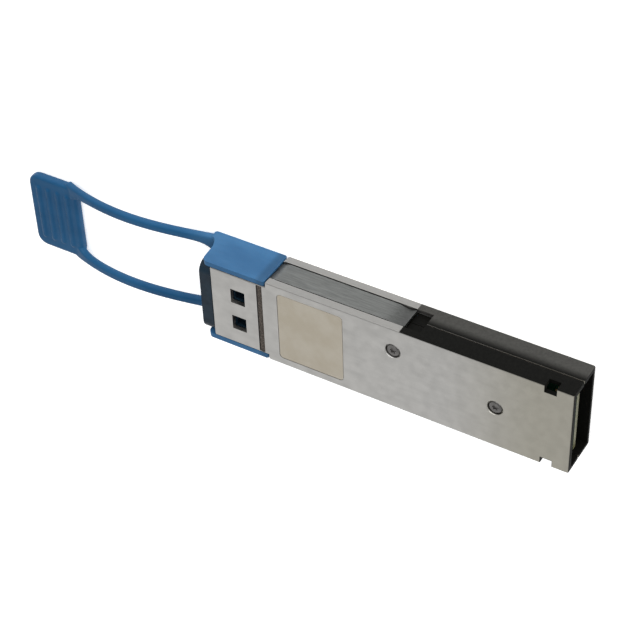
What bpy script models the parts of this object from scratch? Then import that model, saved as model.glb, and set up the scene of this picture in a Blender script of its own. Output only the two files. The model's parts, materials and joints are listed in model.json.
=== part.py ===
"""Pluggable optical transceiver with a duplex fibre receptacle, a pull tab and a de-latching slider.

Units are metres. +X runs from the fibre receptacle to the host connector, +Z from the heat-sink face
to the label face, and the origin is the middle of the heat-sink face.
"""

import math

import bmesh
import bpy
from mathutils import Matrix, Vector

MM = 0.001

# Envelope of the housing
FRONT_X = -35.6 * MM  # front of the nose
SHOULDER_X = -23.9 * MM  # where the nose meets the full-width body
REAR_X = 36.2 * MM  # host connector end
BODY_HALF = 9.175 * MM
NOSE_HALF = 8.1 * MM
HEIGHT = 8.5 * MM
SEAM_Z = 4.4 * MM  # the two housing halves meet here, on the optical axis
CLEARANCE = 0.1 * MM
EDGE_ROUND = 0.25 * MM

# Inside of the housing
FLOOR_Z = 0.9 * MM
ROOF_Z = 7.6 * MM
CAVITY_HALF = 7.25 * MM
CAVITY_FRONT_X = -25.2 * MM
MOUTH_X = 29.5 * MM  # start of the host connector's mouth
MOUTH_HALF = 8.3 * MM
NOSE_POCKET = {"back_x": -26.4 * MM, "half": 6.1 * MM, "z": (1.4 * MM, 7.5 * MM)}
NOSE_FLOOR_Z = 0.8 * MM

# Fibre receptacle
PORT_PITCH = 6.25 * MM
PORT_Y = {"tx": PORT_PITCH / 2, "rx": -PORT_PITCH / 2}
BEZEL_X = (-38.1 * MM, -35.7 * MM)
BAY_HALF = 2.4 * MM
BAY_Z = (2.1 * MM, 7.0 * MM)
BAY_BACK_X = -28.4 * MM
WINDOW_X = (-31.2 * MM, -28.6 * MM)  # openings for the fibre plugs' latches

# Circuit board
BOARD_X = (-8.0 * MM, 35.0 * MM)
BOARD_Z = (3.3 * MM, 4.3 * MM)
BOARD_FRONT_HALF = 7.1 * MM
BOARD_REAR_HALF = 8.15 * MM
BOARD_STEP_X = 7.8 * MM

# Case screws: plan positions of the one ahead and the one behind
SCREWS = {"front": (2.0 * MM, 4.1 * MM), "rear": (21.9 * MM, -0.3 * MM)}
BOSS_RADIUS = 1.7 * MM

# De-latching slider and its channels
STEEL = 0.4 * MM
ARM_Z = (1.9 * MM, 6.6 * MM)
CHANNEL_FLOOR = 8.2 * MM
CHANNEL_X = (SHOULDER_X - 0.1 * MM, 6.5 * MM)
CHANNEL_Z = (1.7 * MM, 6.9 * MM)
STRAP_X = (-34.0 * MM, -30.0 * MM)
STRAP_Z = (0.3 * MM, 0.7 * MM)

# Grooves of the conductive seals, and the label's recess
EMI_GROOVES = {
    "upper": {"x": (-25.8 * MM, -24.6 * MM), "half": 7.9 * MM},
    "lower": {"x": (-23.3 * MM, -22.1 * MM), "half": 8.1 * MM},
}
EMI_DEPTH = 0.4 * MM
SEAM_GROOVE_Z = 3.95 * MM
LABEL_X = (-21.5 * MM, -8.0 * MM)
LABEL_HALF = 7.6 * MM
LABEL_FLOOR = 8.36 * MM

# Return springs
SPRING_X = (-33.45 * MM, -27.55 * MM)
SPRING_Y = 7.25 * MM
SPRING_Z = 3.2 * MM
SPRING_RADIUS = 0.62 * MM
SPRING_WIRE = 0.12 * MM
SPRING_TURNS = 6

# Pull tab
TAB_BOTTOM = 0.15 * MM
CHEEK_Y = (8.2 * MM, BODY_HALF)
CHEEK_BACK_X = SHOULDER_X - 0.2 * MM
TAB_ARM_X = (-72.5 * MM, -38.2 * MM)
TAB_ARM_Y = (7.05 * MM, 8.95 * MM)
TAB_ARM_THICK = 1.5 * MM
TAB_ARM_BASE = 0.95 * MM  # height of an arm's middle at its two ends
TAB_ARM_RISE = 2.7 * MM  # how far it arches above them
TAB_ARM_SKEW = 0.85  # below 1, the top of the arch is nearer the grip
GRIP_X = (-81.6 * MM, -70.4 * MM)
GRIP_HALF = 8.5 * MM
GRIP_TOP = 2.05 * MM
GRIP_RIBS = 4

SIDES = {"left": 1, "right": -1}


# ---------------------------------------------------------------- scene and helpers


def clear_scene():
    for obj in list(bpy.data.objects):
        bpy.data.objects.remove(obj, do_unlink=True)


def new_collection(name):
    collection = bpy.data.collections.new(name)
    bpy.context.scene.collection.children.link(collection)
    return collection


def make_material(name, colour, roughness, metallic=0.0):
    material = bpy.data.materials.new(name)
    material.use_nodes = True
    shader = material.node_tree.nodes["Principled BSDF"]
    shader.inputs["Base Color"].default_value = (*colour, 1.0)
    shader.inputs["Roughness"].default_value = roughness
    shader.inputs["Metallic"].default_value = metallic
    return material


def add_object(name, data, material=None, location=(0, 0, 0)):
    """A part of the object when it has a material, or else a cutter."""
    obj = bpy.data.objects.new(name, data)
    obj.location = location
    if material is None:
        CUTTERS.objects.link(obj)
        obj.hide_render = True
        obj.display_type = "WIRE"
    else:
        PARTS.objects.link(obj)
        data.materials.append(material)
    return obj


def block(name, x, y, z, material=None, rounding=0.0):
    """A box between two x, two y and two z values."""
    size = [high - low for low, high in (x, y, z)]
    centre = [(low + high) / 2 for low, high in (x, y, z)]
    mesh = bpy.data.meshes.new(name)
    bm = bmesh.new()
    bmesh.ops.create_cube(bm, size=1.0, matrix=Matrix.Diagonal((*size, 1.0)))
    bm.to_mesh(mesh)
    bm.free()
    obj = add_object(name, mesh, material, centre)
    if rounding:
        round_edges(obj, rounding)
    return obj


def cylinder(name, radius, start, end, material=None, sides=24):
    """A cylinder from one end's centre to the other's."""
    start, end = Vector(start), Vector(end)
    mesh = bpy.data.meshes.new(name)
    bm = bmesh.new()
    bmesh.ops.create_cone(
        bm, cap_ends=True, segments=sides, radius1=radius, radius2=radius, depth=(end - start).length
    )
    bm.to_mesh(mesh)
    bm.free()
    mesh.shade_smooth()
    mesh.set_sharp_from_angle(angle=math.radians(40))
    obj = add_object(name, mesh, material, (start + end) / 2)
    obj.rotation_euler = (end - start).to_track_quat("Z", "Y").to_euler()
    return obj


def round_edges(obj, width, segments=2):
    bevel = obj.modifiers.new("rounded edges", "BEVEL")
    bevel.width = width
    bevel.segments = segments
    bevel.limit_method = "ANGLE"
    bevel.angle_limit = math.radians(50)


def boolean(obj, tool, operation):
    modifier = obj.modifiers.new(f"{operation.lower()} {tool.name}", "BOOLEAN")
    modifier.operation = operation
    modifier.solver = "EXACT"
    modifier.object = tool


def cut(obj, *tools):
    for tool in tools:
        boolean(obj, tool, "DIFFERENCE")


def join(obj, *tools):
    for tool in tools:
        boolean(obj, tool, "UNION")


def mirrored_y(side, y):
    """A y range on the named side of the object."""
    return tuple(sorted(SIDES[side] * value for value in y))


def rounded_rectangle(x, y, radius, steps=4):
    """Corner points, anticlockwise, of a rectangle with round corners."""
    centres = (
        (x[1] - radius, y[1] - radius),
        (x[0] + radius, y[1] - radius),
        (x[0] + radius, y[0] + radius),
        (x[1] - radius, y[0] + radius),
    )
    points = []
    for corner, (cx, cy) in enumerate(centres):
        for step in range(steps + 1):
            angle = math.pi / 2 * (corner + step / steps)
            points.append((cx + radius * math.cos(angle), cy + radius * math.sin(angle)))
    return points


def ribbon(path, width):
    """The outline of a strip of even width along a path of 2D points."""
    path = [Vector(point) for point in path]
    left, right = [], []
    for i, point in enumerate(path):
        before = (point - path[max(i - 1, 0)]).normalized()
        after = (path[min(i + 1, len(path) - 1)] - point).normalized()
        along = (before + after).normalized()
        across = Vector((-along.y, along.x))
        is_end = i in (0, len(path) - 1)
        reach = width / 2 / (1.0 if is_end else along.dot(after))
        left.append(point + across * reach)
        right.append(point - across * reach)
    return [tuple(point) for point in left + right[::-1]]


def plate(name, outline, span, plane="XY", material=None):
    """A flat outline in the XY or XZ plane, extruded over a span of the third axis, as a mesh."""
    curve = bpy.data.curves.new(name, "CURVE")
    curve.dimensions = "2D"
    curve.fill_mode = "BOTH"
    curve.extrude = (span[1] - span[0]) / 2
    spline = curve.splines.new("POLY")
    spline.points.add(len(outline) - 1)
    for point, (u, v) in zip(spline.points, outline, strict=True):
        point.co = (u, v, 0, 1)
    spline.use_cyclic_u = True
    middle = (span[0] + span[1]) / 2
    obj = add_object(name, curve, material, (0, 0, middle) if plane == "XY" else (0, middle, 0))
    if plane == "XZ":
        obj.rotation_euler = (math.pi / 2, 0, 0)
    return as_mesh(obj)


def as_mesh(obj):
    """The same object as a mesh with its caps welded."""
    bpy.context.view_layer.update()
    graph = bpy.context.evaluated_depsgraph_get()
    mesh = bpy.data.meshes.new_from_object(obj.evaluated_get(graph))
    bm = bmesh.new()
    bm.from_mesh(mesh)
    bmesh.ops.remove_doubles(bm, verts=bm.verts, dist=1e-7)
    bmesh.ops.recalc_face_normals(bm, faces=bm.faces)
    bm.to_mesh(mesh)
    bm.free()
    name, matrix, is_cutter = obj.name, obj.matrix_world.copy(), obj.hide_render
    material = obj.data.materials[0] if obj.data.materials else None
    bpy.data.objects.remove(obj, do_unlink=True)
    mesh.materials.clear()
    solid = add_object(name, mesh, None if is_cutter else material)
    solid.matrix_world = matrix
    return solid


def turned(name, profile, y, z, material, steps=24):
    """A solid turned about a line along X. The profile lists (x, radius), outer side first."""
    mesh = bpy.data.meshes.new(name)
    bm = bmesh.new()
    points = [bm.verts.new((radius, 0, -x)) for x, radius in profile]
    for i, point in enumerate(points):
        bm.edges.new((point, points[(i + 1) % len(points)]))
    bm.to_mesh(mesh)
    bm.free()
    obj = add_object(name, mesh, material, (0, y, z))
    obj.rotation_euler = (0, -math.pi / 2, 0)
    screw = obj.modifiers.new("turned", "SCREW")
    screw.axis = "Z"
    screw.steps = steps
    screw.render_steps = steps
    screw.use_merge_vertices = True
    screw.merge_threshold = 1e-6
    return obj


def bent_sheet(name, path, y, thickness, material):
    """A thin sheet that follows (x, z) points and spans two y values."""
    mesh = bpy.data.meshes.new(name)
    bm = bmesh.new()
    rows = [[bm.verts.new((px, py, pz)) for py in y] for px, pz in path]
    for (a, b), (c, d) in zip(rows, rows[1:], strict=False):
        bm.faces.new((a, c, d, b))
    bm.to_mesh(mesh)
    bm.free()
    obj = add_object(name, mesh, material)
    solidify = obj.modifiers.new("thickness", "SOLIDIFY")
    solidify.thickness = thickness
    solidify.offset = 0
    solidify.use_even_offset = True
    return obj


# ---------------------------------------------------------------- housing


def shared_cutters():
    """The spaces that run through both housing halves."""
    beyond = REAR_X + 1 * MM
    across = (-CAVITY_HALF, CAVITY_HALF)
    mouth = (-MOUTH_HALF, MOUTH_HALF)
    pocket = (-NOSE_POCKET["half"], NOSE_POCKET["half"])
    cutters = [
        block("cut_cavity", (CAVITY_FRONT_X, beyond), across, (FLOOR_Z, ROOF_Z)),
        block("cut_mouth", (MOUTH_X, beyond), mouth, (FLOOR_Z, ROOF_Z)),
        block("cut_nose", (FRONT_X - 1 * MM, NOSE_POCKET["back_x"]), pocket, NOSE_POCKET["z"]),
    ]
    for port, y in PORT_Y.items():
        ends = [(x, y, SEAM_Z) for x in (NOSE_POCKET["back_x"] - 1 * MM, CAVITY_FRONT_X + 1 * MM)]
        cutters.append(cylinder(f"cut_port_{port}", 1.8 * MM, *ends))
    for side in SIDES:
        y = mirrored_y(side, (CHANNEL_FLOOR, BODY_HALF + 1 * MM))
        cutters.append(block(f"cut_channel_{side}", CHANNEL_X, y, CHANNEL_Z))
    return cutters


def seam_path(side):
    """Plan path of the conductive bead along one side wall."""
    inner, outer = 7.72 * MM, 8.74 * MM
    path = ((-22.7 * MM, inner), (6.75 * MM, inner), (7.15 * MM, outer), (35.4 * MM, outer))
    return [(x, SIDES[side] * y) for x, y in path]


def lower_housing(cutters, metal):
    top = SEAM_Z - CLEARANCE / 2
    full_x, full_y = (SHOULDER_X, REAR_X), (-BODY_HALF, BODY_HALF)
    body = block("lower_housing", full_x, full_y, (0, top), metal, EDGE_ROUND)
    nose_x = (FRONT_X, SHOULDER_X + 1 * MM)
    join(body, block("add_lower_nose", nose_x, (-NOSE_HALF, NOSE_HALF), (NOSE_FLOOR_Z, top)))
    cut(body, *cutters)
    board = (-MOUTH_HALF, MOUTH_HALF)
    cut(body, block("cut_board_ledge", (7.5 * MM, REAR_X + 1 * MM), board, (3.2 * MM, HEIGHT)))
    for side in SIDES:
        pocket = mirrored_y(side, (6.4 * MM, BODY_HALF))
        cut(body, block(f"cut_spring_{side}", (-33.6 * MM, -26.9 * MM), pocket, (2.2 * MM, 4.2 * MM)))
        groove = ribbon(seam_path(side), 0.5 * MM)
        cut(body, plate(f"cut_seam_{side}", groove, (SEAM_GROOVE_Z, HEIGHT)))
    groove = EMI_GROOVES["lower"]
    groove_y = (-groove["half"], groove["half"])
    cut(body, block("cut_gasket_lower", groove["x"], groove_y, (-1 * MM, EMI_DEPTH)))
    rooted = FLOOR_Z - 0.3 * MM
    pedestal = (8.0 * MM, 13.2 * MM), (-5.8 * MM, 5.8 * MM), (rooted, 1.7 * MM)
    join(body, block("add_pedestal", *pedestal))
    for name, (x, y) in SCREWS.items():
        join(body, cylinder(f"add_lower_boss_{name}", BOSS_RADIUS, (x, y, rooted), (x, y, top)))
        cut(body, cylinder(f"cut_thread_{name}", 0.7 * MM, (x, y, 2.5 * MM), (x, y, HEIGHT), sides=16))
    return body


def upper_cover(cutters, metal):
    bottom = SEAM_Z + CLEARANCE / 2
    above = HEIGHT + 1 * MM
    full_x, full_y = (SHOULDER_X, REAR_X), (-BODY_HALF, BODY_HALF)
    body = block("upper_cover", full_x, full_y, (bottom, HEIGHT), metal, EDGE_ROUND)
    nose = (FRONT_X, SHOULDER_X + 1 * MM), (-NOSE_HALF, NOSE_HALF), (bottom, HEIGHT)
    join(body, block("add_upper_nose", *nose, rounding=EDGE_ROUND))
    cut(body, *cutters)
    for port, y in PORT_Y.items():
        window_x = (WINDOW_X[0] - 0.2 * MM, WINDOW_X[1] + 0.2 * MM)
        window_y = (y - 1.6 * MM, y + 1.6 * MM)
        cut(body, block(f"cut_window_{port}", window_x, window_y, (BAY_Z[1], above)))
    for side in SIDES:
        notch = mirrored_y(side, (7.7 * MM, BODY_HALF + 1 * MM))
        cut(body, block(f"cut_notch_{side}", (30.8 * MM, 33.0 * MM), notch, (6.6 * MM, above)))
    groove = EMI_GROOVES["upper"]
    groove_y = (-groove["half"], groove["half"])
    cut(body, block("cut_gasket_upper", groove["x"], groove_y, (HEIGHT - EMI_DEPTH, above)))
    recess = rounded_rectangle(LABEL_X, (-LABEL_HALF, LABEL_HALF), 0.8 * MM)
    cut(body, plate("cut_label", recess, (LABEL_FLOOR, above)))
    rooted = ROOF_Z + 0.3 * MM
    for name, (x, y) in SCREWS.items():
        join(body, cylinder(f"add_upper_boss_{name}", BOSS_RADIUS, (x, y, bottom), (x, y, rooted)))
        cut(body, cylinder(f"cut_head_{name}", 1.5 * MM, (x, y, 7.7 * MM), (x, y, above)))
        cut(body, cylinder(f"cut_hole_{name}", 0.75 * MM, (x, y, bottom - 1 * MM), (x, y, above), sides=16))
    return body


def seals(rubber):
    for side in SIDES:
        bead = ribbon(seam_path(side), 0.36 * MM)
        plate(f"seam_gasket_{side}", bead, (SEAM_GROOVE_Z + 0.05 * MM, SEAM_Z), material=rubber)
    heights = {"upper": (8.15 * MM, 8.48 * MM), "lower": (0.04 * MM, 0.35 * MM)}
    for name, groove in EMI_GROOVES.items():
        strip_x = (groove["x"][0] + CLEARANCE, groove["x"][1] - CLEARANCE)
        strip_y = (-groove["half"] + CLEARANCE, groove["half"] - CLEARANCE)
        block(f"emi_gasket_{name}", strip_x, strip_y, heights[name], rubber, 0.1 * MM)


def label(film):
    x = (LABEL_X[0] + CLEARANCE, LABEL_X[1] - CLEARANCE)
    y = (-LABEL_HALF + CLEARANCE, LABEL_HALF - CLEARANCE)
    plate("blank_label", rounded_rectangle(x, y, 0.7 * MM), (8.38 * MM, 8.48 * MM), material=film)


def case_screws(steel):
    for name, (x, y) in SCREWS.items():
        screw = cylinder(f"case_screw_{name}", 1.3 * MM, (x, y, 7.8 * MM), (x, y, 8.3 * MM), steel)
        join(screw, cylinder(f"add_shank_{name}", 0.6 * MM, (x, y, 2.7 * MM), (x, y, 7.9 * MM), sides=16))
        cut(screw, cylinder(f"cut_hex_{name}", 0.6 * MM, (x, y, 8.0 * MM), (x, y, 8.6 * MM), sides=6))


# ---------------------------------------------------------------- fibre receptacle and optics


def lc_receptacle(plastic):
    body_x, body_y = (BEZEL_X[1] - 0.3 * MM, -26.6 * MM), (-6.0 * MM, 6.0 * MM)
    body = block("lc_receptacle", body_x, body_y, (1.5 * MM, 7.4 * MM), plastic)
    bezel = rounded_rectangle((-8.0 * MM, 8.0 * MM), (1.45 * MM, 8.4 * MM), 2.2 * MM, steps=6)
    flange = plate("add_bezel", bezel, BEZEL_X, plane="XZ")
    flange.matrix_world = Matrix.Rotation(math.pi / 2, 4, "Z") @ flange.matrix_world
    flange.matrix_world = Matrix.Translation((sum(BEZEL_X), 0, 0)) @ flange.matrix_world
    join(body, flange)
    for port, y in PORT_Y.items():
        across = (y - BAY_HALF, y + BAY_HALF)
        cut(body, block(f"cut_bay_{port}", (BEZEL_X[0] - 1 * MM, BAY_BACK_X), across, BAY_Z))
        ends = ((BAY_BACK_X - 1 * MM, y, SEAM_Z), (-25.6 * MM, y, SEAM_Z))
        cut(body, cylinder(f"cut_barrel_{port}", 1.6 * MM, *ends))
        latch = (y - 1.4 * MM, y + 1.4 * MM)
        cut(body, block(f"cut_latch_{port}", WINDOW_X, latch, (6.5 * MM, HEIGHT + 1 * MM)))
    return body


def optical_ports(metal, ceramic):
    barrel = (
        (-33.0, 1.3),
        (-32.8, 1.45),
        (-25.1, 1.45),
        (-25.1, 2.3),
        (-24.1, 2.3),
        (-24.1, 1.7),
        (-22.6, 1.7),
        (-22.6, 0.4),
        (-27.4, 0.4),
        (-27.4, 0.9),
        (-33.0, 0.9),
    )
    sleeve = ((-32.6, 0.83), (-27.6, 0.83), (-27.6, 0.63), (-32.6, 0.63))
    for port, y in PORT_Y.items():
        scaled = [(x * MM, radius * MM) for x, radius in barrel]
        turned(f"{port}_port_barrel", scaled, y, SEAM_Z, metal)
        scaled = [(x * MM, radius * MM) for x, radius in sleeve]
        turned(f"{port}_ferrule_sleeve", scaled, y, SEAM_Z, ceramic)


def optical_subassemblies(gold, holder, flex, pad):
    packages = (("laser_package", "tx", -15.5 * MM), ("receiver_package", "rx", -16.1 * MM))
    hump = ((-13.2, 4.1), (-12.0, 4.55), (-10.6, 5.05), (-9.2, 4.9), (-8.2, 4.46), (-5.8, 4.46))
    for package, port, back_x in packages:
        y = PORT_Y[port]
        across = (y - 2.9 * MM, y + 2.9 * MM)
        block(package, (-22.5 * MM, back_x), across, (1.9 * MM, 6.9 * MM), gold, 0.2 * MM)
        route = [(back_x + CLEARANCE, hump[0][1] * MM)] + [(px * MM, pz * MM) for px, pz in hump]
        width = tuple(sorted(math.copysign(value, y) for value in (0.9 * MM, 3.9 * MM)))
        bent_sheet(f"{port}_flex_circuit", route, width, 0.12 * MM, flex)
        under = (y - 2.5 * MM, y + 2.5 * MM)
        block(f"{port}_thermal_pad", (-22.0 * MM, -16.6 * MM), under, (1.0 * MM, 1.82 * MM), pad, 0.1 * MM)
    saddle_size = (-23.9 * MM, -23.1 * MM), (-7.0 * MM, 7.0 * MM), (1.0 * MM, 5.6 * MM)
    saddle = block("port_saddle", *saddle_size, holder)
    for port, y in PORT_Y.items():
        ends = ((-25 * MM, y, SEAM_Z), (-22 * MM, y, SEAM_Z))
        cut(saddle, cylinder(f"cut_saddle_{port}", 1.8 * MM, *ends))
        slot_y = (y - 1.79 * MM, y + 1.79 * MM)
        cut(saddle, block(f"cut_slot_{port}", (-25 * MM, -22 * MM), slot_y, (SEAM_Z, 7 * MM)))


# ---------------------------------------------------------------- electronics


def main_board(laminate):
    half, wide = BOARD_FRONT_HALF, BOARD_REAR_HALF
    nose, corner = 0.6 * MM, 0.5 * MM
    outline = [
        (BOARD_X[0], -half),
        (BOARD_STEP_X, -half),
        (BOARD_STEP_X, -wide),
        (BOARD_X[1] - nose, -wide),
        (BOARD_X[1], -wide + corner),
        (BOARD_X[1], wide - corner),
        (BOARD_X[1] - nose, wide),
        (BOARD_STEP_X, wide),
        (BOARD_STEP_X, half),
        (BOARD_X[0], half),
    ]
    board = plate("main_board", outline, BOARD_Z, material=laminate)
    for name, (x, y) in SCREWS.items():
        cut(board, cylinder(f"cut_board_{name}", 1.95 * MM, (x, y, 2 * MM), (x, y, 6 * MM)))
    return board


def mounted_on_board(name, centre, size, height, material, below=False):
    """A square or oblong component soldered to the upper or the lower face of the board."""
    standoff = 0.08 * MM
    z = (BOARD_Z[1] + standoff, BOARD_Z[1] + standoff + height)
    if below:
        z = (BOARD_Z[0] - standoff - height, BOARD_Z[0] - standoff)
    x, y = ((middle - side / 2, middle + side / 2) for middle, side in zip(centre, size, strict=True))
    return block(name, x, y, z, material, 0.08 * MM)


def components(silicon, ferrite, tantalum, can):
    chips = (
        ("retimer_chip_tx", (10.6, 3.1), (5.0, 5.0), 0.8, silicon, True),
        ("retimer_chip_rx", (10.6, -3.1), (5.0, 5.0), 0.8, silicon, True),
        ("laser_driver_chip", (-3.2, 3.0), (4.0, 4.0), 0.8, silicon, True),
        ("receiver_amplifier_chip", (-3.2, -3.0), (3.0, 3.0), 0.8, silicon, True),
        ("microcontroller_chip", (14.6, 0.0), (5.0, 5.0), 0.8, silicon, False),
        ("cooler_driver_chip", (-2.6, -3.4), (4.0, 4.0), 0.8, silicon, False),
        ("power_inductor_1", (26.6, 4.6), (3.0, 3.0), 1.5, ferrite, False),
        ("power_inductor_2", (26.6, -4.6), (3.0, 3.0), 1.5, ferrite, False),
        ("tantalum_capacitor_1", (20.6, 5.4), (3.2, 1.6), 1.6, tantalum, False),
        ("tantalum_capacitor_2", (20.6, -5.4), (3.2, 1.6), 1.6, tantalum, False),
        ("clock_crystal", (7.6, -4.6), (3.2, 2.5), 0.8, can, False),
    )
    for name, centre, size, height, material, below in chips:
        place = [value * MM for value in centre]
        mounted_on_board(name, place, [value * MM for value in size], height * MM, material, below)


def board_pads(pad, absorber, film):
    """Between the board and the housing: heat to the floor, stray signals soaked up at the roof."""
    soft_edge = 0.1 * MM
    heat = (8.2 * MM, 13.0 * MM), (-5.5 * MM, 5.5 * MM), (1.75 * MM, 2.36 * MM)
    block("retimer_thermal_pad", *heat, pad, soft_edge)
    soak = (7.5 * MM, 18.5 * MM), (-6.0 * MM, 6.0 * MM), (6.9 * MM, 7.5 * MM)
    block("rf_absorber_pad", *soak, absorber, soft_edge)
    sheet = (15.0 * MM, 28.0 * MM), (-7.0 * MM, -2.4 * MM), (1.0 * MM, 1.1 * MM)
    block("insulating_film", *sheet, film)


# ---------------------------------------------------------------- pull tab, slider and springs


def delatch_slider(steel):
    """A stamped bracket: two side arms with sprung tips, joined under the nose by a strap."""
    strap_half = 8.5 * MM + STEEL / 2
    slider = block("delatch_slider", STRAP_X, (-strap_half, strap_half), STRAP_Z, steel)
    nose_y, body_y, tip_y = 8.5 * MM, 8.85 * MM, 8.5 * MM
    path = (
        (STRAP_X[0], nose_y),
        (SHOULDER_X + 0.3 * MM, nose_y),
        (SHOULDER_X + 1.2 * MM, body_y),
        (0.0, body_y),
        (1.3 * MM, tip_y),
        (2.1 * MM, tip_y),
        (3.3 * MM, body_y),
    )
    for side, sign in SIDES.items():
        line = [(x, sign * y) for x, y in path]
        join(slider, plate(f"add_arm_{side}", ribbon(line, STEEL), ARM_Z))
        web_y = mirrored_y(side, (nose_y - STEEL / 2, nose_y + STEEL / 2))
        join(slider, block(f"add_web_{side}", STRAP_X, web_y, (STRAP_Z[0], ARM_Z[0] + 0.5 * MM)))
        tang_y = mirrored_y(side, (6.6 * MM, nose_y))
        join(slider, block(f"add_tang_{side}", (-27.4 * MM, -27.0 * MM), tang_y, (2.5 * MM, 3.9 * MM)))
    return slider


def return_spring(side, steel):
    """A compression coil between the nose's pocket and the slider's tang."""
    per_turn = 10
    curve = bpy.data.curves.new(f"return_spring_{side}", "CURVE")
    curve.dimensions = "3D"
    curve.bevel_depth = SPRING_WIRE
    curve.bevel_resolution = 2
    curve.use_fill_caps = True
    start, end = SPRING_X[0] + SPRING_WIRE, SPRING_X[1] - SPRING_WIRE
    count = SPRING_TURNS * per_turn
    spline = curve.splines.new("POLY")
    spline.points.add(count)
    for i, point in enumerate(spline.points):
        angle = 2 * math.pi * i / per_turn
        x = start + (end - start) * i / count
        point.co = (x, SPRING_RADIUS * math.cos(angle), SPRING_RADIUS * math.sin(angle), 1)
    return add_object(curve.name, curve, steel, (0, SIDES[side] * SPRING_Y, SPRING_Z))


def tab_cheek_outline():
    """Side view of a cheek: full height beside the nose, falling to the arm in front of it."""
    top = HEIGHT - 0.05 * MM
    return [
        (CHEEK_BACK_X, TAB_BOTTOM),
        (CHEEK_BACK_X, top),
        (-36.6 * MM, top),
        (-37.3 * MM, top - 0.7 * MM),
        (-37.6 * MM, 4.0 * MM),
        (-38.4 * MM, 2.2 * MM),
        (-39.4 * MM, 1.7 * MM),
        (-39.4 * MM, TAB_BOTTOM),
    ]


def tab_arm_line(steps=14):
    """Side view of an arm's middle: a skewed arch from the grip to the nose."""
    line = []
    for i in range(steps + 1):
        t = i / steps
        rise = math.sin(math.pi * t**TAB_ARM_SKEW)
        x = TAB_ARM_X[0] + t * (TAB_ARM_X[1] - TAB_ARM_X[0])
        line.append((x, TAB_ARM_BASE + TAB_ARM_RISE * rise))
    return line


def pull_tab(plastic):
    """The moulded tab: two cheeks, a sill, two arms and the grip, in one piece."""
    grip = rounded_rectangle(GRIP_X, (-GRIP_HALF, GRIP_HALF), 2.2 * MM, steps=5)
    tab = plate("pull_tab", grip, (TAB_BOTTOM, GRIP_TOP), material=plastic)
    round_edges(tab, 0.5 * MM)
    arm = ribbon(tab_arm_line(), TAB_ARM_THICK)
    for side in SIDES:
        join(tab, plate(f"add_tab_arm_{side}", arm, mirrored_y(side, TAB_ARM_Y), plane="XZ"))
        cheek_y = mirrored_y(side, CHEEK_Y)
        join(tab, plate(f"add_cheek_{side}", tab_cheek_outline(), cheek_y, plane="XZ"))
        pocket_y = mirrored_y(side, (8.0 * MM, 8.8 * MM))
        pocket_x = (STRAP_X[0] - 0.2 * MM, CHEEK_BACK_X + 1 * MM)
        cut(tab, block(f"cut_cheek_{side}", pocket_x, pocket_y, (0.2 * MM, 6.9 * MM)))
    sill_y = (-8.6 * MM, 8.6 * MM)
    join(tab, block("add_sill", (-38.7 * MM, -37.6 * MM), sill_y, (TAB_BOTTOM, 1.3 * MM)))
    spacing = (GRIP_X[1] - GRIP_X[0]) / (GRIP_RIBS + 1)
    for rib in range(GRIP_RIBS):
        x = GRIP_X[0] + spacing * (rib + 1)
        rib_x = (x - 0.4 * MM, x + 0.4 * MM)
        rib_z = (GRIP_TOP - 0.3 * MM, GRIP_TOP + 0.25 * MM)
        join(tab, block(f"add_rib_{rib}", rib_x, (-6.2 * MM, 6.2 * MM), rib_z))
    return tab


def slide_together(*pieces):
    """The tab and the slider hang on one empty that lies on the sliding axis."""
    carrier = bpy.data.objects.new("slide_axis", None)
    carrier.location = (STRAP_X[0], 0, SEAM_Z)
    carrier.empty_display_size = 3 * MM
    PARTS.objects.link(carrier)
    for piece in pieces:
        piece.parent = carrier
        piece.matrix_parent_inverse = Matrix.Translation(-carrier.location)


# ---------------------------------------------------------------- assembly

clear_scene()
PARTS = new_collection("optical_transceiver_module")
CUTTERS = new_collection("cutters")

NICKEL = make_material("nickel_plated_zinc", (0.36, 0.35, 0.32), 0.38, 1.0)
STAINLESS = make_material("stainless_steel", (0.30, 0.30, 0.29), 0.35, 1.0)
SPRING_STEEL = make_material("spring_steel", (0.35, 0.35, 0.36), 0.3, 1.0)
BLUE = make_material("blue_moulded_tab", (0.035, 0.12, 0.31), 0.45)
BLACK = make_material("black_plastic", (0.012, 0.012, 0.014), 0.5)
RUBBER = make_material("conductive_rubber", (0.035, 0.035, 0.035), 0.8)
FILM = make_material("label_film", (0.46, 0.44, 0.40), 0.5)
GOLD = make_material("gold_plate", (0.80, 0.55, 0.22), 0.3, 1.0)
CERAMIC = make_material("zirconia", (0.85, 0.84, 0.80), 0.25)
LAMINATE = make_material("board_laminate", (0.01, 0.09, 0.04), 0.45)
FLEX = make_material("polyimide_flex", (0.55, 0.25, 0.05), 0.4)
SILICON = make_material("chip_package", (0.02, 0.02, 0.022), 0.55)
FERRITE = make_material("ferrite", (0.06, 0.06, 0.065), 0.6)
TANTALUM = make_material("capacitor_resin", (0.50, 0.30, 0.06), 0.45)
THERMAL = make_material("thermal_pad", (0.20, 0.28, 0.42), 0.8)

housing_cutters = shared_cutters()
lower_housing(housing_cutters, NICKEL)
upper_cover(housing_cutters, NICKEL)
seals(RUBBER)
label(FILM)
case_screws(STAINLESS)
lc_receptacle(BLACK)
optical_ports(STAINLESS, CERAMIC)
optical_subassemblies(GOLD, STAINLESS, FLEX, THERMAL)
main_board(LAMINATE)
components(SILICON, FERRITE, TANTALUM, STAINLESS)
board_pads(THERMAL, FERRITE, FLEX)
for spring_side in SIDES:
    return_spring(spring_side, SPRING_STEEL)
slide_together(pull_tab(BLUE), delatch_slider(STAINLESS))
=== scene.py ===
"""Looks of the pluggable optical transceiver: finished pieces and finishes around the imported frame.

Metres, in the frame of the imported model: +X from the fibre receptacle to the host connector, +Z from the
heat-sink face to the label face. Patterns in the finishes are laid out in millimetres of the object.
"""

import json
import math

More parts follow.
